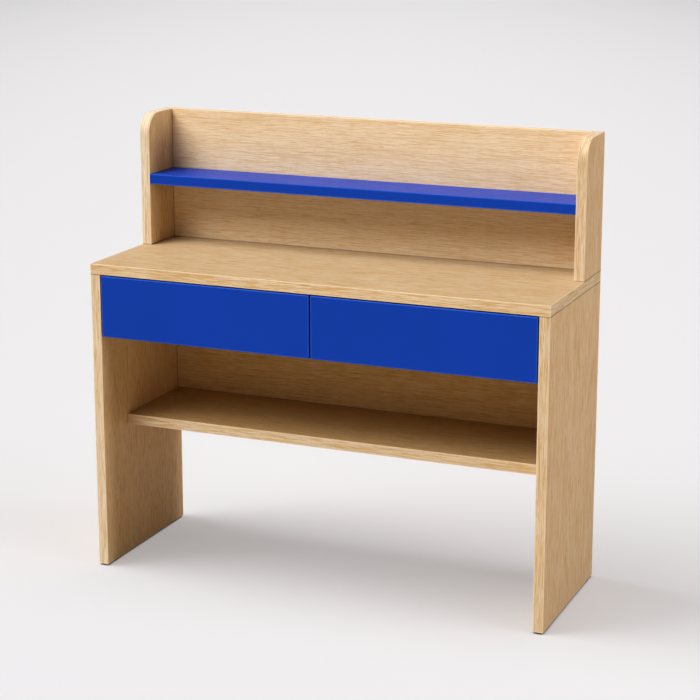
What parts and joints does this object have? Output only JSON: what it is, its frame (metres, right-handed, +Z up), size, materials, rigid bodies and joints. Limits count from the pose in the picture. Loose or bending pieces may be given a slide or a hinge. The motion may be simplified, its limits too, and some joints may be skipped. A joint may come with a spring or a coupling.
{
  "type": "student desk with hutch",
  "caption": "Oak-veneered student desk with full-depth panel legs, two blue inset drawers on roller slides, a low shelf and a hutch with a blue shelf.",
  "frame": {"origin": "on the floor under the middle of the desk", "axes": "+Z up, +X to the right of somebody facing the desk, front faces -Y"},
  "size_m": [1.15, 0.4, 1.095],
  "materials": {
    "oak": "light oak veneer, satin",
    "blue_lacquer": "blue lacquer on board, satin",
    "drawer_board": "pale laminated board, matt",
    "drawer_base": "thin pale hardboard, matt",
    "slide_steel": "white powder coat",
    "nylon": "natural nylon",
    "zinc": "bright zinc",
    "beech": "plain beech",
    "glide_plastic": "dark moulded plastic"
  },
  "bodies": {
    "desk": {"desktop": "oak", "lower_shelf": "oak", "lower_back_panel": "oak", "hutch_back_panel": "oak", "left_leg_panel": "oak", "right_leg_panel": "oak", "hutch_left_side": "oak", "hutch_right_side": "oak", "hutch_shelf": "blue_lacquer", "drawer_divider": "drawer_board", "foot_glides": "glide_plastic", "cam_locks": "zinc", "cam_bolts": "zinc", "wooden_dowels": "beech", "left_drawer_left_runner": "slide_steel", "left_drawer_right_runner": "slide_steel", "right_drawer_left_runner": "slide_steel", "right_drawer_right_runner": "slide_steel"},
    "left_drawer_front_wheels": {"left_drawer_front_wheels": "nylon"},
    "left_drawer_rear_wheels": {"left_drawer_rear_wheels": "nylon"},
    "left_drawer": {"left_drawer_front": "blue_lacquer", "left_drawer_back": "drawer_board", "left_drawer_bottom": "drawer_base", "left_drawer_left_side": "drawer_board", "left_drawer_right_side": "drawer_board", "left_drawer_left_rail": "slide_steel", "left_drawer_right_rail": "slide_steel"},
    "right_drawer_front_wheels": {"right_drawer_front_wheels": "nylon"},
    "right_drawer_rear_wheels": {"right_drawer_rear_wheels": "nylon"},
    "right_drawer": {"right_drawer_front": "blue_lacquer", "right_drawer_back": "drawer_board", "right_drawer_bottom": "drawer_base", "right_drawer_left_side": "drawer_board", "right_drawer_right_side": "drawer_board", "right_drawer_left_rail": "slide_steel", "right_drawer_right_rail": "slide_steel"}
  },
  "joints": [
    {"name": "left_drawer_slide", "type": "slide", "parent": "desk", "child": "left_drawer", "axis": [0, -1, 0], "range_m": [0, 0.245]},
    {"name": "left_drawer_front_wheels_spin", "type": "hinge", "parent": "desk", "child": "left_drawer_front_wheels", "pos_m": [0, -0.167, 0.6109], "axis": [1, 0, 0], "continuous": true},
    {"name": "left_drawer_rear_wheels_spin", "type": "hinge", "parent": "left_drawer", "child": "left_drawer_rear_wheels", "pos_m": [0, 0.137, 0.6085], "axis": [1, 0, 0], "continuous": true},
    {"name": "right_drawer_slide", "type": "slide", "parent": "desk", "child": "right_drawer", "axis": [0, -1, 0], "range_m": [0, 0.245]},
    {"name": "right_drawer_front_wheels_spin", "type": "hinge", "parent": "desk", "child": "right_drawer_front_wheels", "pos_m": [0, -0.167, 0.6109], "axis": [1, 0, 0], "continuous": true},
    {"name": "right_drawer_rear_wheels_spin", "type": "hinge", "parent": "right_drawer", "child": "right_drawer_rear_wheels", "pos_m": [0, 0.137, 0.6085], "axis": [1, 0, 0], "continuous": true}
  ],
  "couplings": [
    {"joint": "left_drawer_front_wheels_spin", "follows": "left_drawer_slide", "rad_per_m": 125},
    {"joint": "left_drawer_rear_wheels_spin", "follows": "left_drawer_slide", "rad_per_m": 125},
    {"joint": "right_drawer_front_wheels_spin", "follows": "right_drawer_slide", "rad_per_m": 125},
    {"joint": "right_drawer_rear_wheels_spin", "follows": "right_drawer_slide", "rad_per_m": 125}
  ]
}
